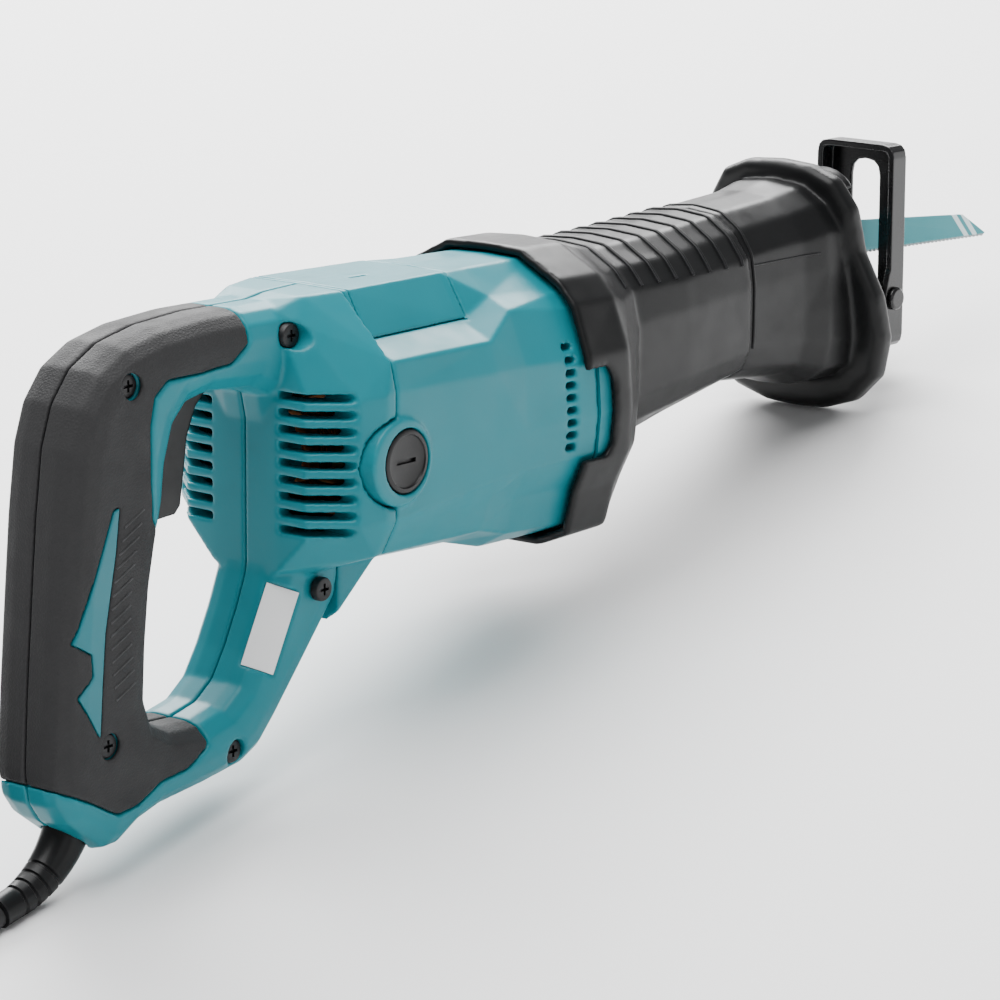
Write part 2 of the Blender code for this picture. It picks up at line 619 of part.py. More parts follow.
def motor_fixed():
    """The pieces of the motor that do not turn."""
    solid("field_core", ring((20, 0, 0), (62, 0, 0), 22.3, 36.9, 24), "lamination", smooth=35)
    for name, ends in (("field_winding_rear", (11, 19.7)), ("field_winding_front", (62.3, 71))):
        profile = [(ends[0], 24.5), (ends[0], 31), (ends[0] + 2, 34), (ends[1], 34), (ends[1], 22.6)]
        solid(name, turned(profile, (0, 0, 0), (1, 0, 0), 20), "copper", smooth=35)
    solid("rear_bearing", ring((-22, 0, 0), (-15.3, 0, 0), SHAFT_RADIUS + 0.05, BEARING_REAR, 24),
          "bearing_steel", smooth=35)
    solid("front_bearing", ring((105, 0, 0), (112.7, 0, 0), SHAFT_RADIUS + 0.05, FRONT_BEARING, 24),
          "bearing_steel", smooth=35)
    for name, side in (("right", -1), ("left", 1)):
        low, high = sorted((side * 15.5, side * 36.4))
        holder = solid(f"brush_holder_{name}", box((-5, low, -5), (5, high, 5)), "brass")
        cut(holder, box((-3.6, -60, -3.6), (3.6, 60, 3.6)))
        low, high = sorted((side * 12.4, side * 29))
        solid(f"carbon_brush_{name}", box((-3.3, low, -3.3), (3.3, high, 3.3)), "carbon")
        cap = [(36.8, 0), (36.8, CAP_NECK), (40, CAP_NECK), (40, CAP_RADIUS), (43.4, CAP_RADIUS),
               (44.2, CAP_RADIUS - 1), (44.2, 0)]
        brush_cap = solid(f"brush_cap_{name}", turned(cap, (0, 0, 0), (0, side, 0), 28), "black_plastic",
                          smooth=35)
        low, high = sorted((side * 42.6, side * 50))
        cut(brush_cap, box((-3.2, low, -0.7), (3.2, high, 0.7)))


def star(teeth, root, tip, width_root, width_tip, turn=0.0):
    """The outline of a toothed wheel. Widths are the tooth's share of its pitch."""
    outline = []
    for k in range(teeth):
        middle = math.tau * (k / teeth) + turn
        for radius, share in ((root, -width_root), (tip, -width_tip), (tip, width_tip), (root, width_root)):
            angle = middle + share * math.pi / teeth
            outline.append((radius * math.cos(angle), radius * math.sin(angle)))
    return outline


def armature():
    body = BODIES["armature"]
    solid("armature_shaft", rod((-22, 0, 0), (125, 0, 0), SHAFT_RADIUS, 24), "bright_steel", body, 35)
    inner = SHAFT_RADIUS + GAP
    pieces = [("commutator", [(-6, inner), (-6, 12), (7, 12), (7, 9), (8.5, 9), (8.5, inner)], "copper"),
              ("armature_core", [(20, inner), (20, 21.6), (62, 21.6), (62, inner)], "lamination"),
              ("armature_winding_rear", [(10, inner), (10, 15), (12, 18.5), (19.7, 18.5), (19.7, inner)],
               "copper"),
              ("armature_winding_front", [(62.3, inner), (62.3, 18.5), (70, 18.5), (72, 15), (72, inner)],
               "copper")]
    for name, profile, material in pieces:
        solid(name, turned(profile, (0, 0, 0), (1, 0, 0), 20), material, body, 35)
    fan = solid("cooling_fan", rod((74, 0, 0), (75.5, 0, 0), 34, 36), "dark_plastic", body, 35)
    join(fan, rod((74.5, 0, 0), (86, 0, 0), 9, 22))
    join(fan, prism(star(9, 8, 33, 0.5, 0.07), 74.7, 84, axis="x"))
    cut(fan, rod((70, 0, 0), (90, 0, 0), inner, 20))
    pinion = prism(star(PINION_TEETH, PINION_PITCH - TOOTH_IN, PINION_PITCH + TOOTH_OUT, 0.54, 0.22,
                        math.pi / PINION_TEETH), 125.8, 129.4, axis="x")
    pinion_wheel = solid("pinion", pinion, "bright_steel", body)
    join(pinion_wheel, rod((125.3, 0, 0), (126.2, 0, 0), 2.8, 16))


def crank():
    """The crank gear on its post: teeth under its rim, crank pin on top."""
    body = BODIES["crank"]
    floor = PINION_PITCH + TOOTH_IN
    rim = [(floor, 5.4), (floor, 25.2), (floor + 4, 25.2), (floor + 5, 24), (floor + 5, 5.4)]
    gear = solid("crank_gear", turned(rim, (GEAR_X, 0, 0), (0, 0, 1), 40), "bright_steel", body, 35)
    for k in range(GEAR_TEETH):
        join(gear, face_tooth(math.tau * k / GEAR_TEETH, floor))
    pin = rod((GEAR_X - CRANK_RADIUS, 0, floor + 4), (GEAR_X - CRANK_RADIUS, 0, 18), 3.8, 20)
    join(gear, pin)
    post = [(-8, 0), (-8, POST_RADIUS), (-5.9, POST_RADIUS), (-5.9, 8), (2, 8), (5.4, 6), (5.4, POST_RADIUS),
            (12, POST_RADIUS), (12, 0)]
    solid("crank_post", turned(post, (GEAR_X, 0, 0), (0, 0, 1), 24), "bright_steel", smooth=35)


def face_tooth(angle, floor):
    """One tooth under the crank gear, wider at its root."""
    corners = []
    for radius in (20.3, 24.8):
        for z, half in ((floor + 0.5, 0.85), (PINION_PITCH - TOOTH_OUT + 0.1, 0.36)):
            for side in (-half, half):
                along, across = math.cos(angle), math.sin(angle)
                corners.append((GEAR_X + radius * along - side * across, radius * across + side * along, z))
    return hull(corners)


# ---------------------------------------------------------------- blade drive

def blade_drive():
    body = BODIES["blade_rod"]
    slider = solid("slider_rod", rod((127, 0, ROD_Z), (268, 0, ROD_Z), ROD_RADIUS, 28), "bright_steel",
                   body, 35)
    join(slider, box((126, -21, 19), (144, 21, 27)), box((128, -7, 20), (142, 7, 32)))
    cut(slider, box((128.4, -18.6, 10), (141.6, 18.6, 22.5)))
    cut(slider, rod((256, 0, ROD_Z), (300, 0, ROD_Z), 5.3, 24))
    holder = solid("blade_clamp", rod((256.3, 0, ROD_Z), (282, 0, ROD_Z), 5.0), "bright_steel", body, 35)
    cut(holder, box((262, -0.9, ROD_Z - 4.2), (300, 0.9, ROD_Z + 4.2)))
    for name, start in (("rod_bush_rear", 181), ("rod_bush_front", 248)):
        solid(name, ring((start, 0, ROD_Z), (start + 14, 0, ROD_Z), ROD_RADIUS + 0.05, ROD_RADIUS + 2.2, 28),
              "brass", smooth=35)
    sleeve = [(268.4, 10.2), (270, 11.2), (281, 11.2), (284, 9.5), (284, 5.4), (268.4, 5.4)]
    clamp = solid("clamp_sleeve", turned(sleeve, (0, 0, ROD_Z), (1, 0, 0), 28), "dark_steel",
                  BODIES["clamp_sleeve"], 35)
    join(clamp, box((275, -3, ROD_Z + 9), (281, 3, ROD_Z + 12.2)))
    saw_blade(body)


def saw_blade(body):
    """A narrow blade, canted down from its tang, with teeth along its lower edge."""
    start, end = 292.0, 398.0
    drop = math.tan(math.radians(5.0))
    outline = [(264.0, ROD_Z + 3.6), (286.0, ROD_Z + 3.6), (start, ROD_Z + 5.0),
               (306.0, ROD_Z + 3.6), (end - 16, ROD_Z + 3.6 - drop * 76), (end, 22.0)]
    teeth = 40
    for k in range(teeth):
        x = end - 2 - (end - 2 - start) * k / teeth
        low = 26.4 - drop * 0.45 * (x - start)
        outline += [(x, low - 1.5), (x - 0.6, low)]
    outline += [(start, ROD_Z - 6.5), (286.0, ROD_Z - 3.6), (264.0, ROD_Z - 3.6)]
    solid("blade", prism(outline, -0.6, 0.6), "blade_paint", body)


# ---------------------------------------------------------------- shoe

def shoe():
    bar_low, bar_high = BAR_Z
    bar = solid("shoe_bar", box((196, -BAR_HALF, bar_low), (296, BAR_HALF, bar_high)), "black_steel",
                BODIES["shoe_bar"])
    cut(bar, box((205, -2.6, -10), (242, 2.6, 20)))
    x, z = PIVOT
    nose = [(x + 4 * math.cos(a), z + 4 * math.sin(a)) for a in (-1.5, -1.0, -0.5, 0, 0.5, 1.0, 1.5)]
    cheek = [(288, bar_low), (x - 7, bar_low)] + nose + [(x - 5, z + 6), (x - 12, z + 6), (288, bar_high)]
    for side in (-1, 1):
        low, high = sorted((side * 9.0, side * 12.5))
        join(bar, prism(cheek, low, high))
    cut(bar, rod((x, -30, z), (x, 30, z), 2.1, 16))
    body = BODIES["shoe"]
    plate = solid("shoe_plate", prism(rounded_outline(slab_outline((-17.5, -10), (17.5, 67)), 5), 309.5, 318,
                                      axis="x"), "black_steel", body, 30)
    join(plate, prism(rounded_outline([(303.5, 0), (314, -6), (314, 26), (309, 20)], 2.5), -17.5, 17.5))
    pocket = rounded_outline(slab_outline((-15.2, -7.7), (15.2, 64.7)), 3)
    cut(plate, prism(pocket, 290, 316.4, axis="x"))
    slot = rounded_outline(slab_outline((-6.4, -2), (6.4, 60)), 6)
    cut(plate, prism(slot, 300, 330, axis="x"))
    cut(plate, rod((x, -30, z), (x, 30, z), 2.1, 16))
    rivet = [(-19.6, 0), (-19.6, 3.6), (-18.8, 4.4), (-17.8, 4.4), (-17.8, 1.9), (17.8, 1.9), (17.8, 4.4),
             (18.8, 4.4), (19.6, 3.6), (19.6, 0)]
    solid("shoe_pivot_pin", turned(rivet, (x, 0, z), (0, 1, 0), 20), "black_steel", body, 35)


# ---------------------------------------------------------------- switch, trigger and cord entry

def controls():
    solid("switch_body", box((-107, -6.5, -6), (-89, 6.5, 29)), "dark_plastic")
    outline = [(-82, 26), (-82, -9), (-77, -12), (-68.5, -11.5), (-66, -9), (-64.5, 0), (-62.5, 13),
               (-58.5, 22), (-52.5, 27.5), (-60, 29.8), (-68, 33.5)]
    solid("trigger", prism(outline, -5.8, 5.8), "black_plastic", BODIES["trigger"])
    button = [(9.3, 0), (9.3, 5.6), (11.0, 5.6), (11.0, 4.2), (19.6, 4.0), (20.3, 3.2), (20.3, 0)]
    solid("lock_button", turned(button, (LOCK_BUTTON[0], 0, LOCK_BUTTON[1]), (0, 1, 0), 20),
          "black_plastic", BODIES["lock_button"], 35)


def swept(path, radii, steps=16):
    """A round solid along path, a list of (x, y, z) in one upright plane, with a radius at each point."""
    loops = []
    for k, here in enumerate(path):
        way = Vector(path[min(k + 1, len(path) - 1)]) - Vector(path[max(k - 1, 0)])
        across = Vector((0, 1, 0))
        up = way.normalized().cross(across)
        loops.append([tuple(Vector(here) + radii[k] * (math.cos(t) * across + math.sin(t) * up))
                      for t in (math.tau * i / steps for i in range(steps))])
    return loft(loops)


def to_surface(point):
    """Where a point of the saw's frame is over the surface, in mm."""
    x, y, z = point
    return (x * math.cos(PITCH) + z * math.sin(PITCH) + STAND_X, y,
            z * math.cos(PITCH) - x * math.sin(PITCH) + STAND_Z)


def cord_guard():
    """The rubber sleeve round the cord, bent by the surface that it rests on."""
    surface = BODIES["surface"]
    path = [to_surface(along_guard(d)) for d in (-11, -6, 0)]
    x, _, z = path[-1]
    steep = math.atan2(path[0][2] - z, path[0][0] - x)
    root, tip = GUARD_RADII
    bend = (z - tip - 0.15) / (1 - math.cos(steep))
    for k in range(1, 9):
        turn = steep * (1 - k / 8)
        path.append((x - bend * (math.sin(steep) - math.sin(turn)), 0,
                     z - bend * (math.cos(turn) - math.cos(steep))))
    path.append((path[-1][0] - 7, 0, path[-1][2]))
    radii = [root] * 3 + [root + (tip - root) * k / 8 for k in range(1, 9)] + [tip]
    solid("cord_guard", swept(path, radii), "black_rubber", surface, 50)


def supply_cord():
    """The cord along the surface, its coil, the tie round the coil and the plug on top of it."""
    surface = BODIES["surface"]
    curve = bpy.data.curves.new("cord", "CURVE")
    curve.dimensions = "3D"
    curve.bevel_depth = CORD_DIAMETER / 2
    curve.bevel_resolution = 2
    curve.use_fill_caps = True
    line = curve.splines.new("POLY")
    line.points.add(len(CORD_ROUTE) - 1)
    for point, place in zip(line.points, CORD_ROUTE):
        point.co = (*place, 1)
    cord = bpy.data.objects.new("cord", curve)
    bpy.context.collection.objects.link(cord)
    curve.materials.append(MATERIALS["cord_rubber"])
    x, y = COIL_CENTRE
    inner, outer = COIL_RADII
    coil = [(0.2, inner + 2.5), (0.2, outer - 2.5), (3.5, outer), (COIL_HEIGHT - 3.5, outer),
            (COIL_HEIGHT, outer - 2.5), (COIL_HEIGHT, inner + 2.5), (COIL_HEIGHT - 3.5, inner),
            (3.5, inner)]
    solid("cord_coil", turned(coil, (x, y, 0), (0, 0, 1), 36), "cord_rubber", surface, 40)
    top = COIL_HEIGHT + GAP
    near, far = inner - 0.7, outer + GAP
    strap = [(near - 1.3, 0.1), (near, 0.1), (near, top), (far, top), (far, 0.1), (far + 1.3, 0.1),
             (far + 1.3, top + 1.3), (near - 1.3, top + 1.3)]
    solid("cord_tie", prism([(x + r, z) for r, z in strap], y - 4, y + 4), "black_plastic", surface)
    plug(x - 12, y + 42, top + 0.2)


def plug(x, y, base):
    """A moulded two pin plug lying along X on the coil."""
    surface = BODIES["surface"]
    sections = [(0, 4.4, 4.4, 4.6), (16, 5.6, 5.2, 5.6), (18, 10, 7, 7.2), (24, 12, 8, 8), (42, 12, 8, 8),
                (44, 10.5, 6.5, 8)]
    loops = []
    for along, half, high, middle in sections:
        outline = [(half, -0.55 * high), (0.55 * half, -high), (-0.55 * half, -high), (-half, -0.55 * high),
                   (-half, 0.55 * high), (-0.55 * half, high), (0.55 * half, high), (half, 0.55 * high)]
        loops.append([(x + along, y + a, base + middle + b) for a, b in outline])
    body = solid("plug", loft(loops), "black_rubber", surface, 40)
    for name, side in (("left", -1), ("right", 1)):
        middle = y + 6.35 * side
        cut(body, box((x + 37, middle - 1.2, base + 4.5), (x + 60, middle + 1.2, base + 11.5)))
        pin = box((x + 37.4, middle - 0.8, base + 4.9), (x + 60, middle + 0.8, base + 11.1))
        solid(f"plug_pin_{name}", pin, "brass", surface)


# ---------------------------------------------------------------- the saw

clear_scene()

MATERIALS = {name: finish(name, *look) for name, look in {
    "teal_plastic": ((0.014, 0.215, 0.265), 0.42),
    "teal_insert": ((0.012, 0.2, 0.25), 0.45),
    "soft_grip": ((0.045, 0.045, 0.047), 0.75),
    "black_rubber": ((0.022, 0.022, 0.024), 0.5),
    "black_plastic": ((0.012, 0.012, 0.013), 0.4),
    "dark_plastic": ((0.03, 0.03, 0.032), 0.55),
    "label": ((0.75, 0.76, 0.77), 0.35),
    "cast_alloy": ((0.55, 0.56, 0.57), 0.45, 1.0),
    "bright_steel": ((0.62, 0.62, 0.63), 0.28, 1.0),
    "bearing_steel": ((0.5, 0.5, 0.52), 0.3, 1.0),
    "dark_steel": ((0.08, 0.08, 0.085), 0.38, 1.0),
    "black_steel": ((0.02, 0.02, 0.021), 0.25, 0.6),
    "lamination": ((0.28, 0.28, 0.29), 0.5, 1.0),
    "copper": ((0.7, 0.28, 0.12), 0.35, 1.0),
    "brass": ((0.72, 0.5, 0.2), 0.35, 1.0),
    "carbon": ((0.02, 0.02, 0.02), 0.7),
    "blade_paint": ((0.02, 0.33, 0.36), 0.4),
    "cord_rubber": ((0.016, 0.016, 0.017), 0.6),
}.items()}

SAW = empty("saw", (0, 0, 0))
SAW.rotation_euler = (0, PITCH, 0)
SAW.location = (STAND_X * MM, 0, STAND_Z * MM)
BODIES = {"saw": SAW, "surface": empty("surface", (0, 0, 0))}
BODIES.update({name: empty(f"{name}_frame", place, SAW) for name, place in {
    "armature": (0, 0, 0),
    "crank": (GEAR_X, 0, 0),
    "blade_rod": (0, 0, ROD_Z),
    "clamp_sleeve": (276, 0, ROD_Z),
    "shoe_bar": (250, 0, 5.5),
    "shoe": (PIVOT[0], 0, PIVOT[1]),
    "trigger": (TRIGGER_PIVOT[0], 0, TRIGGER_PIVOT[1]),
    "lock_button": (LOCK_BUTTON[0], 0, LOCK_BUTTON[1]),
}.items()})

for half_name, half_side in (("right", -1), ("left", 1)):
    handle_half(f"handle_shell_{half_name}", half_side)
    grip_half(half_name, half_side)
handle_screws()
label_plate()
motor_housing()
top_panel()
front_cover()
nose_guard()
gear_housing()
motor_fixed()
armature()
crank()
blade_drive()
shoe()
controls()
cord_guard()
supply_cord()
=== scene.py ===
"""A corded reciprocating saw on a pale studio floor.

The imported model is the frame. Its moulded pieces are softened where they stand, the small turned
pieces, the cord and its guard are replaced by finer ones, and every piece gets a procedural material.
Sizes are in millimetres in the saw's own frame unless a name says otherwise: +X towards the blade,
+Y the saw's left, +Z up, with the motor shaft through the origin at the brushes.
"""

import json
import math

import bmesh
import bpy
from mathutils import Matrix, Vector


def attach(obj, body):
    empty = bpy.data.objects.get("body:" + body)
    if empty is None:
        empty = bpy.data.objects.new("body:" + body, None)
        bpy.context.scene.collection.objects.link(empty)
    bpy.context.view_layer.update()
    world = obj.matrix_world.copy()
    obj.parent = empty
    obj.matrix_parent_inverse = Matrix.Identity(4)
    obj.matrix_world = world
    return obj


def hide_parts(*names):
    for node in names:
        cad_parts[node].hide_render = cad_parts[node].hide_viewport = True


MM = 0.001
PITCH = math.radians(13.7)      # the saw stands nose down
STAND = Vector((-110.25, 0, 94.05))
SAW = Matrix.Translation(STAND * MM) @ Matrix.Rotation(PITCH, 4, "Y") @ Matrix.Scale(MM, 4)

# The camera, in world metres: its right, up and backward directions and its place
CAMERA = Matrix(((0.620033, 0.390242, -0.680640, -1.107009),
                 (-0.770893, 0.141711, -0.621001, -0.990600),
                 (-0.145886, 0.909741, 0.388700, 0.655443),
                 (0, 0, 0, 1)))
CAMERA_LENS = 165.6

GUARD_ROOT = (-114.0, 0, -107.0)        # where the cord guard leaves the handle, and its way out
GUARD_WAY = (-0.49, 0, -0.872)
GUARD_RADII = (0.0076, 0.0052)          # metres, at its root and tip

# The cord's route, in world metres, as the model has it
CORD_DIAMETER = 0.008
CORD_ROUTE = [(-0.2807, 0.0, 0.0048), (-0.2915, 0.0, 0.0043), (-0.301, 0.0006, 0.0042),
              (-0.310, 0.002, 0.0042), (-0.319, 0.0033, 0.0042)]
COIL_CENTRE = (-319.0, 62.0)
COIL_COLUMNS = (50.2, 42.0, 33.8)       # radius of each column of turns, from outside in
COIL_LAYERS = (4.3, 12.5, 20.7)         # height of each layer
# (column, layer) of each turn, and the angle in each turn after which the cord moves to its next place
COIL_LANES = [(0, 0), (0, 1), (0, 2), (1, 2), (1, 1), (1, 0), (2, 0), (2, 1), (2, 2)]
COIL_MOVES = (270, 270, 210, 150, 150, 90, 30, 30)
MOVE_ANGLE = 60
PLUG_TIP = (-12.3, 42, 29.7)            # from the coil's centre
LAST_BEND = 36

HANDLE_SCREWS = [(-98.5, 35.5, 10.0), (-110.5, -77.0, 10.0), (-52.5, -91.0, 11.0),
                 (-14.5, -43.5, 18.0), (-27.5, 42.0, 14.0)]

# How finely each moulded node is remeshed, and how many rounds of smoothing it gets
SOFTENED = {
    "handle_shell_right": (0.65, 9), "handle_shell_left": (0.65, 9), "grip_right": (0.6, 18),
    "grip_left": (0.6, 18), "grip_accent_right": (0.4, 4), "grip_accent_left": (0.4, 4),
    "motor_housing": (0.65, 8), "top_panel": (0.5, 5), "front_cover": (0.75, 22),
    "nose_guard": (0.75, 26), "shoe_plate": (0.3, 3), "shoe_bar": (0.5, 5), "trigger": (0.4, 8),
    "lock_button": (0.3, 3), "clamp_sleeve": (0.4, 3), "plug": (0.5, 8), "cord_tie": (0.35, 2),
    "shoe_pivot_pin": (0.3, 2),
}

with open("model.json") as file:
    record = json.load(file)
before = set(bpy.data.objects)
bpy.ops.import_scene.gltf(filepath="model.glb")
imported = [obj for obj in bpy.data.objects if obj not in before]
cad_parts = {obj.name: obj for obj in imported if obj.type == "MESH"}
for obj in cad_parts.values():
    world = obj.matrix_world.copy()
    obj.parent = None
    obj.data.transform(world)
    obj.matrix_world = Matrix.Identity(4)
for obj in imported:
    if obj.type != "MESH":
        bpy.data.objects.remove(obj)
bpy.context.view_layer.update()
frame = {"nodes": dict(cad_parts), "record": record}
NODES = frame["nodes"]


# ---------------------------------------------------------------- camera, floor and light

def place_camera():
    camera = bpy.data.objects.new("camera", bpy.data.cameras.new("camera"))
    camera.data.lens = CAMERA_LENS
    camera.data.sensor_width = 36
    camera.data.clip_end = 20
    camera.matrix_world = CAMERA
    bpy.context.collection.objects.link(camera)
    bpy.context.scene.camera = camera


def area_light(name, place, aim, size, power):
    lamp = bpy.data.objects.new(name, bpy.data.lights.new(name, "AREA"))
    lamp.data.shape = "RECTANGLE"
    lamp.data.size, lamp.data.size_y = size
    lamp.data.energy = power
    lamp.location = place
    lamp.rotation_euler = (Vector(aim) - Vector(place)).to_track_quat("-Z", "Y").to_euler()
    bpy.context.collection.objects.link(lamp)


def studio():
    world = bpy.data.worlds.new("studio")
    world.use_nodes = True
    background = world.node_tree.nodes["Background"]
    background.inputs["Color"].default_value = (0.97, 0.98, 1.0, 1)
    background.inputs["Strength"].default_value = 0.36
    bpy.context.scene.world = world
    floor = bpy.data.meshes.new("floor")
    floor.from_pydata([(-6, -6, 0), (6, -6, 0), (6, 6, 0), (-6, 6, 0)], [], [(0, 1, 2, 3)])
    ground = bpy.data.objects.new("floor", floor)
    bpy.context.collection.objects.link(ground)
    look = Material("floor_paper", (0.93, 0.93, 0.93), 0.6)
    look.bump(look.noise(60, 4), 0.05, 0.0005)
    ground.data.materials.append(look.made)
    area_light("back", (1.1, 1.0, 1.0), (0.05, 0, 0.08), (1.8, 1.1), 92)
    area_light("top", (-0.1, 0.1, 1.5), (0, 0, 0.08), (1.5, 1.2), 38)
    area_light("side", (-0.5, -1.7, 0.8), (0, 0, 0.08), (1.2, 0.7), 3)


# ---------------------------------------------------------------- materials

class Material:
    """A Principled material and the few nodes that give it its grain."""

    def __init__(self, name, colour, roughness, metallic=0.0):
        self.made = bpy.data.materials.new(name)
        self.made.use_nodes = True
        self.tree = self.made.node_tree
        self.shader = self.tree.nodes["Principled BSDF"]
        self.shader.inputs["Base Color"].default_value = (*colour, 1)
        self.shader.inputs["Roughness"].default_value = roughness
        self.shader.inputs["Metallic"].default_value = metallic
        self.place = self.tree.nodes.new("ShaderNodeTexCoord").outputs["Object"]
        self.normal = None

    def link(self, start, end):
        self.tree.links.new(start, end)

    def noise(self, scale, detail=3.0, stretch=None):
        """Soft noise. scale is in cells per metre."""
        node = self.tree.nodes.new("ShaderNodeTexNoise")
        node.inputs["Scale"].default_value = scale
        node.inputs["Detail"].default_value = detail
        self.link(self.stretched(stretch) if stretch else self.place, node.inputs["Vector"])
        return node.outputs["Fac"]

    def cells(self, scale):
        """Distance from the middle of the nearest cell."""
        node = self.tree.nodes.new("ShaderNodeTexVoronoi")
        node.inputs["Scale"].default_value = scale
        self.link(self.place, node.inputs["Vector"])
        return node.outputs["Distance"]

    def waves(self, scale, distortion=0.0):
        node = self.tree.nodes.new("ShaderNodeTexWave")
        node.inputs["Scale"].default_value = scale
        node.inputs["Distortion"].default_value = distortion
        self.link(self.place, node.inputs["Vector"])
        return node.outputs["Fac"]

    def stretched(self, scale):
        """The place, with each axis scaled."""
        node = self.tree.nodes.new("ShaderNodeMapping")
        node.inputs["Scale"].default_value = scale
        self.link(self.place, node.inputs["Vector"])
        return node.outputs["Vector"]

    def ramp(self, value, low, high, start=0.0, end=1.0):
        """Goes from low to high while value goes from start to end."""
        node = self.tree.nodes.new("ShaderNodeMapRange")
        node.inputs["From Min"].default_value = start
        node.inputs["From Max"].default_value = end
        node.inputs["To Min"].default_value = low
        node.inputs["To Max"].default_value = high
        self.link(value, node.inputs["Value"])
        return node.outputs["Result"]

    def mix(self, factor, first, second):
        """first where factor is 0, second where it is 1."""
        node = self.tree.nodes.new("ShaderNodeMix")
        node.data_type = "RGBA"
        self.link(factor, node.inputs["Factor"])
        for socket, colour in ((node.inputs["A"], first), (node.inputs["B"], second)):
            if isinstance(colour, tuple):
                socket.default_value = (*colour, 1)
            else:
                self.link(colour, socket)
        return node.outputs["Result"]

    def dot(self, direction):
        """How far a point lies along a direction, in metres."""
        node = self.tree.nodes.new("ShaderNodeVectorMath")
        node.operation = "DOT_PRODUCT"
        node.inputs[1].default_value = direction
        self.link(self.place, node.inputs[0])
        return node.outputs["Value"]

    def both(self, first, second):
        """The product of two factors."""
        node = self.tree.nodes.new("ShaderNodeMath")
        node.operation = "MULTIPLY"
        self.link(first, node.inputs[0])
        self.link(second, node.inputs[1])
        return node.outputs["Value"]

    def colour(self, output):
        self.link(output, self.shader.inputs["Base Color"])

    def roughness(self, output):
        self.link(output, self.shader.inputs["Roughness"])

    def bump(self, height, strength, distance):
        node = self.tree.nodes.new("ShaderNodeBump")
        node.inputs["Strength"].default_value = strength
        node.inputs["Distance"].default_value = distance
        self.link(height, node.inputs["Height"])
        if self.normal:
            self.link(self.normal, node.inputs["Normal"])
        self.normal = node.outputs["Normal"]
        self.link(self.normal, self.shader.inputs["Normal"])

    def edges(self):
        """How far a point is on a raised edge, from 0 to 1."""
        node = self.tree.nodes.new("ShaderNodeNewGeometry")
        return self.ramp(node.outputs["Pointiness"], 0.0, 1.0, 0.52, 0.6)


HOUSING_TEAL = (0.004, 0.205, 0.25)
SAW_X = (0.9716, 0, -0.2368)            # the saw's own +X in the world
RIM_END = -0.0240                       # how far along it the casting's painted rim ends
BLADE_BARS = (0.2825, 0.2872)           # where the blade's pale bars start, along BAR_WAY
BAR_WAY = (1, 0, 0.6)
BAR_WIDTH = 0.0026
TEETH_WAY = (0.2751, 0, 0.9623)         # at right angles to the line of the teeth
TEETH_TOP = 0.0972


def moulded(name, colour, roughness, worn, grain=1500):
    """Moulded plastic: fine grain, slightly uneven gloss, edges a little paler."""
    look = Material(name, colour, roughness)
    patches = look.ramp(look.noise(35, 5), 0.0, 1.0, 0.35, 0.7)
    dull = tuple(c * 0.93 for c in colour)
    base = look.mix(patches, colour, dull)
    look.colour(look.mix(look.ramp(look.edges(), 0.0, 0.35), base, worn))
    look.roughness(look.ramp(look.noise(90, 4), roughness - 0.05, roughness + 0.07, 0.3, 0.7))
    look.bump(look.noise(grain, 2), 0.18, 0.00012)
    return look


def pebbled(name, colour):
    """Soft grip: small raised pebbles."""
    look = moulded(name, colour, 0.68, (0.12, 0.12, 0.125))
    look.bump(look.ramp(look.cells(1250), 1.0, 0.0, 0.1, 0.7), 0.55, 0.00016)
    return look


def metal(name, colour, roughness, stretch=(40, 900, 900), metallic=1.0):
    """Ground or drawn metal, with marks running along X."""
    look = Material(name, colour, roughness, metallic)
    marks = look.noise(1, 4, stretch)
    look.roughness(look.ramp(marks, roughness - 0.07, roughness + 0.12, 0.3, 0.7))
    stain = look.ramp(look.noise(55, 4), 0.0, 1.0, 0.4, 0.75)
    look.colour(look.mix(stain, colour, tuple(c * 0.8 for c in colour)))
    look.bump(marks, 0.12, 0.00006)
    return look


def laminated(name, colour):
    """A stack of thin sheets across X."""
    look = metal(name, colour, 0.45)
    look.bump(look.waves(320), 0.5, 0.0002)
    return look


def wound(name, colour):
    """Enamelled wire, side by side."""
    look = metal(name, colour, 0.35)
    look.bump(look.waves(260, 1.5), 0.8, 0.0005)
    return look


def casting():
    """Cast alloy, painted like the housing at its rear rim, which shows in the cover's notches."""
    look = metal("cast_alloy", (0.5, 0.51, 0.52), 0.45, (300, 300, 300))
    bare = look.shader.inputs["Base Color"].links[0].from_socket
    rim = look.ramp(look.dot(SAW_X), 1, 0, RIM_END, RIM_END + 0.0002)
    look.colour(look.mix(rim, bare, HOUSING_TEAL))
    look.link(look.ramp(rim, 1, 0), look.shader.inputs["Metallic"])
    return look


def painted_blade():
    """Satin paint with two pale slanting bars near the tip, and bare steel at the teeth."""
    look = moulded("blade_paint", (0.003, 0.2, 0.235), 0.42, (0.1, 0.35, 0.38))
    painted = look.shader.inputs["Base Color"].links[0].from_socket
    along = look.dot(BAR_WAY)
    for start in BLADE_BARS:
        end = start + BAR_WIDTH
        bar = look.both(look.ramp(along, 0, 1, start, start + 0.0002),
                        look.ramp(along, 1, 0, end, end + 0.0002))
        painted = look.mix(bar, painted, (0.62, 0.74, 0.76))
    teeth = look.ramp(look.dot(TEETH_WAY), 1, 0, TEETH_TOP, TEETH_TOP + 0.0006)
    look.colour(look.mix(teeth, painted, (0.33, 0.36, 0.37)))
    return look


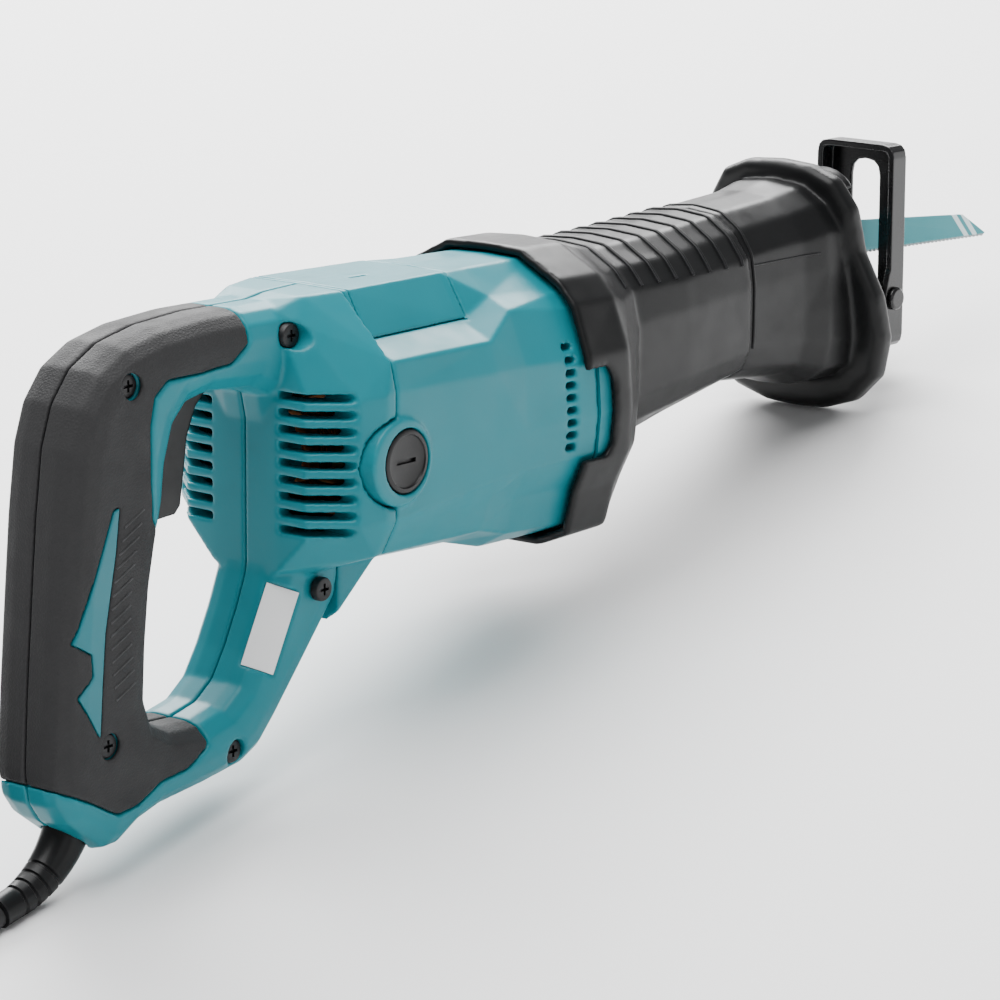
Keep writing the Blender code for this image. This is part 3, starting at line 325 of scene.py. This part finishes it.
MATERIALS = {
    "teal_plastic": moulded("teal_plastic", HOUSING_TEAL, 0.36, (0.03, 0.35, 0.41)),
    "teal_insert": moulded("teal_insert", (0.004, 0.17, 0.21), 0.42, (0.03, 0.31, 0.36)),
    "soft_grip": pebbled("soft_grip", (0.022, 0.022, 0.023)),
    "black_rubber": moulded("black_rubber", (0.006, 0.0062, 0.0066), 0.36, (0.03, 0.03, 0.032), 2200),
    "black_plastic": moulded("black_plastic", (0.008, 0.008, 0.0085), 0.34, (0.03, 0.03, 0.03)),
    "dark_plastic": moulded("dark_plastic", (0.03, 0.03, 0.032), 0.5, (0.07, 0.07, 0.07)),
    "label": moulded("label", (0.97, 0.97, 0.97), 0.3, (0.98, 0.98, 0.98)),
    "cast_alloy": casting(),
    "bright_steel": metal("bright_steel", (0.6, 0.6, 0.61), 0.28),
    "bearing_steel": metal("bearing_steel", (0.5, 0.5, 0.52), 0.25),
    "dark_steel": metal("dark_steel", (0.014, 0.014, 0.015), 0.42, metallic=0.3),
    "black_steel": moulded("black_steel", (0.006, 0.006, 0.0065), 0.24, (0.05, 0.05, 0.052), 500),
    "lamination": laminated("lamination", (0.25, 0.25, 0.26)),
    "copper": wound("copper", (0.65, 0.26, 0.11)),
    "brass": metal("brass", (0.7, 0.48, 0.2), 0.32),
    "carbon": moulded("carbon", (0.02, 0.02, 0.02), 0.6, (0.05, 0.05, 0.05)),
    "blade_paint": painted_blade(),
    "cord_rubber": moulded("cord_rubber", (0.016, 0.016, 0.017), 0.5, (0.04, 0.04, 0.04)),
}

SHINE = {"black_rubber": 0.25, "black_plastic": 0.3, "teal_plastic": 0.3, "soft_grip": 0.4,
         "cord_rubber": 0.3, "blade_paint": 0.2}


def paint_nodes():
    """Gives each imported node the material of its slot."""
    for slot, level in SHINE.items():
        MATERIALS[slot].shader.inputs["Specular IOR Level"].default_value = level
    for part in frame["record"]["subparts"]:
        mesh = NODES[part["node"]].data
        mesh.materials.clear()
        mesh.materials.append(MATERIALS[part["material_slot"]].made)


# ---------------------------------------------------------------- pieces

def soften(node, voxel, rounds):
    """Rounds a moulded node's edges where it stands."""
    obj = NODES[node]
    remesh = obj.modifiers.new("grid", "REMESH")
    remesh.mode = "VOXEL"
    remesh.voxel_size = voxel * MM
    remesh.use_smooth_shade = True
    smooth = obj.modifiers.new("soft", "SMOOTH")
    smooth.factor = 0.5
    smooth.iterations = rounds


def shape(name, points, faces, place):
    """A new object from points in the frame that place turns into world metres."""
    mesh = bpy.data.meshes.new(name)
    mesh.from_pydata([place @ Vector(p) for p in points], [], faces)
    work = bmesh.new()
    work.from_mesh(mesh)
    bmesh.ops.recalc_face_normals(work, faces=work.faces)
    work.to_mesh(mesh)
    work.free()
    made = bpy.data.objects.new(name, mesh)
    bpy.context.collection.objects.link(made)
    return made


def piece(name, points, faces, slot, place=SAW, smooth=35):
    """A new piece with the finish of a slot, riding on the main body."""
    made = shape(name, points, faces, place)
    made.data.shade_smooth()
    made.data.set_sharp_from_angle(angle=math.radians(smooth))
    made.data.materials.append(MATERIALS[slot].made)
    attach(made, "main")
    return made


def tube_faces(rows, steps):
    """Faces of a closed tube of rings of points."""
    faces = []
    for row in range(rows - 1):
        for k in range(steps):
            j = (k + 1) % steps
            low, high = row * steps, (row + 1) * steps
            faces.append((low + k, low + j, high + j, high + k))
    faces.append(tuple(range(steps)))
    faces.append(tuple(range((rows - 1) * steps, rows * steps)))
    return faces


def turned(profile, centre, along, steps=64):
    """Points and faces of a profile of (distance along, radius) turned round a line."""
    way = Vector(along).to_track_quat("Z", "Y").to_matrix()
    points = []
    for distance, radius in profile:
        for k in range(steps):
            turn = math.tau * k / steps
            local = Vector((radius * math.cos(turn), radius * math.sin(turn), distance))
            points.append(Vector(centre) + way @ local)
    return points, tube_faces(len(profile), steps)


def cut_out(obj, points, faces):
    """Cuts a closed shape out of a piece."""
    tool = shape(f"{obj.name}_cutter", points, faces, SAW)
    change = obj.modifiers.new("cut", "BOOLEAN")
    change.operation = "DIFFERENCE"
    change.solver = "EXACT"
    change.object = tool
    graph = bpy.context.evaluated_depsgraph_get()
    result = bpy.data.meshes.new_from_object(obj.evaluated_get(graph))
    obj.modifiers.remove(change)
    obj.data = result
    bpy.data.objects.remove(tool)


def box(low, high):
    """Points and faces of a box."""
    corners = [(x, y, z) for x in (low[0], high[0]) for y in (low[1], high[1])
               for z in (low[2], high[2])]
    return corners, [(0, 1, 3, 2), (4, 6, 7, 5), (0, 4, 5, 1), (2, 3, 7, 6), (0, 2, 6, 4), (1, 5, 7, 3)]


def skin_depth(x, z):
    """How far out the handle's right skin is round a screw."""
    depths = []
    across = SAW.to_3x3().normalized() @ Vector((0, 1, 0))
    for dx, dz in ((4.8, 0), (-4.8, 0), (0, 4.8), (0, -4.8)):
        start = SAW @ Vector((x + dx, -70, z + dz))
        for node in ("handle_shell_right", "grip_right", "motor_housing"):
            hit, place, _, _ = NODES[node].ray_cast(start, across, distance=0.07)
            if hit:
                depths.append(-place.y / MM)
    return min(max(depths), min(depths) + 2.5)


def screw_heads():
    """The five handle screws, each filling its recess, with a cross in the head."""
    for number, (x, z, head) in enumerate(HANDLE_SCREWS, 1):
        front = max(skin_depth(x, z) - 1.1, head + 2.9)
        deep = front - head - 0.3
        profile = [(0, 3.2), (0.2, 3.7), (0.7, 4.0), (deep, 4.05), (deep, 1.9), (deep + head + 5.9, 1.9)]
        screw = piece(f"screw_{number}", *turned(profile, (x, -front, z), (0, 1, 0)), "dark_steel")
        for wide, tall in ((2.0, 0.5), (0.5, 2.0)):
            cut_out(screw, *box((x - wide, -front - 1, z - tall), (x + wide, -front + 1.5, z + tall)))
        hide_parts(f"handle_screw_{number}")


def brush_caps():
    """Slotted caps over the brushes."""
    for name, side in (("right", -1), ("left", 1)):
        profile = [(36.8, 7.5), (40.0, 7.5), (40.0, 10.7), (43.2, 10.7), (43.9, 10.3), (44.2, 9.6),
                   (44.2, 8.9), (43.7, 8.6), (43.5, 8.0), (43.5, 0.01)]
        cap = piece(f"cap_{name}", *turned(profile, (0, 0, 0), (0, side, 0)), "black_plastic")
        low, high = sorted((side * 42.3, side * 50))
        cut_out(cap, *box((-4.6, low, -0.75), (4.6, high, 0.75)))
        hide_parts(f"brush_cap_{name}")


def surface_line(node, starts, toward, reach=0.2):
    """Where rays from points in the saw's frame meet a node, in world metres."""
    obj = NODES[node]
    found = []
    tilt = SAW.to_3x3().normalized()
    for start in starts:
        way = (tilt @ (Vector(toward(start)) - Vector(start))).normalized()
        hit, place, _, _ = obj.ray_cast(SAW @ Vector(start), way, distance=reach)
        if hit:
            found.append(place)
    return found


def bead(name, points, radius, slot):
    """A round line along points in world metres, on the main body. A point's radius is in metres."""
    curve = bpy.data.curves.new(name, "CURVE")
    curve.dimensions = "3D"
    curve.bevel_depth = 1
    curve.bevel_resolution = 2
    curve.use_fill_caps = True
    line = curve.splines.new("POLY")
    line.points.add(len(points) - 1)
    for target, place in zip(line.points, points):
        target.co = (*place, 1)
        target.radius = radius * MM
    curve.materials.append(MATERIALS[slot].made)
    made = bpy.data.objects.new(name, curve)
    bpy.context.collection.objects.link(made)
    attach(made, "main")
    return made


def arc_line(node, x, middle, radius, degrees):
    """A line across a node's skin at x, found by looking inwards from an arc round (y 0, z middle)."""
    angles = [math.radians(a) for a in degrees]
    starts = [(x, radius * math.sin(a), middle + radius * math.cos(a)) for a in angles]
    return surface_line(node, starts, lambda p: (p[0], 0, middle))


def cover_ribs():
    """Fine ribs across the top of the front cover."""
    for k in range(8):
        line = arc_line("front_cover", 130 + 10 * k, 14, 70, range(-52, 53, 4))
        bead(f"cover_rib_{k + 1}", line, 0.85, "black_rubber")


def grip_ridges():
    """Short ridges beside the insert, pressed into the soft grip on both sides."""
    for name, side in (("right", -1), ("left", 1)):
        for k in range(14):
            z = -8 - 4.2 * k
            rear = -103.5 + 0.09 * (z + 8) - 4 * math.sin(math.pi * k / 13)
            starts = [(rear + 1.1 * i, side * 40, z + 0.55 * i) for i in range(9)]
            line = surface_line(f"grip_{name}", starts, lambda p: (p[0], 0, p[2]))
            bead(f"grip_ridge_{name}_{k + 1}", line, 0.35, "soft_grip")


def guard_line():
    """The raised line round the rear of the nose guard, and one along each of its sides."""
    bead("guard_line", arc_line("nose_guard", 209.5, 20, 80, range(-118, 119, 4)), 0.7, "black_rubber")
    for name, side in (("right", -1), ("left", 1)):
        starts = [(210 + 2 * k, side * 60, 35.5) for k in range(20)]
        line = surface_line("nose_guard", starts, lambda p: (p[0], 0, 35.5))
        bead(f"guard_seam_{name}", line, 0.45, "black_rubber")


def guard_path():
    """The cord guard's centreline in world metres, with its radius at each point."""
    root = SAW @ Vector(GUARD_ROOT)
    way = (SAW.to_3x3().normalized() @ Vector(GUARD_WAY)).normalized()
    wide, narrow = GUARD_RADII
    steep = math.atan2(-way.z, -way.x)
    bend = (root.z - narrow - 0.00015) / (1 - math.cos(steep))
    path = [(root - way * (0.011 - k * 0.001), wide) for k in range(12)]
    for k in range(1, 61):
        turn = steep * (1 - k / 60)
        place = Vector((root.x - bend * (math.sin(steep) - math.sin(turn)), 0,
                        root.z - bend * (math.cos(turn) - math.cos(steep))))
        path.append((place, wide + (narrow - wide) * k / 60))
    tip = path[-1][0]
    path += [(tip + Vector((-0.0007 * k, 0, 0)), narrow) for k in range(1, 11)]
    return path


def cord_guard():
    """The cord's bend relief: a taper with rings cut into its outer end."""
    path = guard_path()
    steps = 32
    across = Vector((0, 1, 0))
    points = []
    for k, (here, radius) in enumerate(path):
        ahead = (path[min(k + 1, len(path) - 1)][0] - path[max(k - 1, 0)][0]).normalized()
        up = ahead.cross(across)
        if 34 < k < 70 and (k - 34) % 9 > 6:
            radius -= 0.0007
        for i in range(steps):
            t = math.tau * i / steps
            points.append(here + radius * (math.cos(t) * across + math.sin(t) * up))
    faces = tube_faces(len(path), steps)
    guard = piece("cord_relief", points, faces, "black_rubber", Matrix.Identity(4), 50)
    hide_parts("cord_guard")


def eased(share):
    share = min(max(share, 0), 1)
    return share * share * (3 - 2 * share)


def coil_point(turn):
    """The coiled cord's place, in world metres, after turning this many degrees clockwise."""
    k = min(int(turn // 360), len(COIL_MOVES) - 1)
    share = eased((turn - 360 * k - COIL_MOVES[k]) / MOVE_ANGLE)
    here, after = [(COIL_COLUMNS[c], COIL_LAYERS[row]) for c, row in COIL_LANES[k:k + 2]]
    radius = here[0] + (after[0] - here[0]) * share
    height = here[1] + (after[1] - here[1]) * share
    radius += 8.4 * (1 - eased(turn / 70))                  # coming in from the saw
    radius += 14.6 * eased((turn - 2880) / 97)              # going out to the plug
    height += 9.0 * eased((turn - 2850) / 60)               # on top of the coil
    angle = math.radians(-90 - turn)
    return Vector((COIL_CENTRE[0] + radius * math.cos(angle),
                   COIL_CENTRE[1] + radius * math.sin(angle), height)) * MM


def coil_route():
    """The cord's centreline: along the floor, eight turns in three columns, then over to the plug."""
    route = [Vector(p) for p in CORD_ROUTE]
    route += [coil_point(turn) for turn in range(10, 2975, 10)]
    end = Vector((*COIL_CENTRE, 0)) + Vector(PLUG_TIP)
    for degrees in (*range(178, 89, -8), 90):
        angle = math.radians(degrees)
        offset = Vector((LAST_BEND * math.cos(angle), LAST_BEND * math.sin(angle) - LAST_BEND, 0))
        route.append((end + offset) * MM)
    return route


def supply_cord():
    """The whole cord with its coil. Its tie and plug are the model's own."""
    route = coil_route()
    cord = bead("supply_cord", route, CORD_DIAMETER / 2 / MM, "cord_rubber")
    cord.data.bevel_resolution = 4
    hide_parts("cord", "cord_coil")


# ---------------------------------------------------------------- the scene

place_camera()
studio()
paint_nodes()
for name, (voxel, rounds) in SOFTENED.items():
    soften(name, voxel, rounds)
screw_heads()
brush_caps()
cover_ribs()
grip_ridges()
guard_line()
cord_guard()
supply_cord()
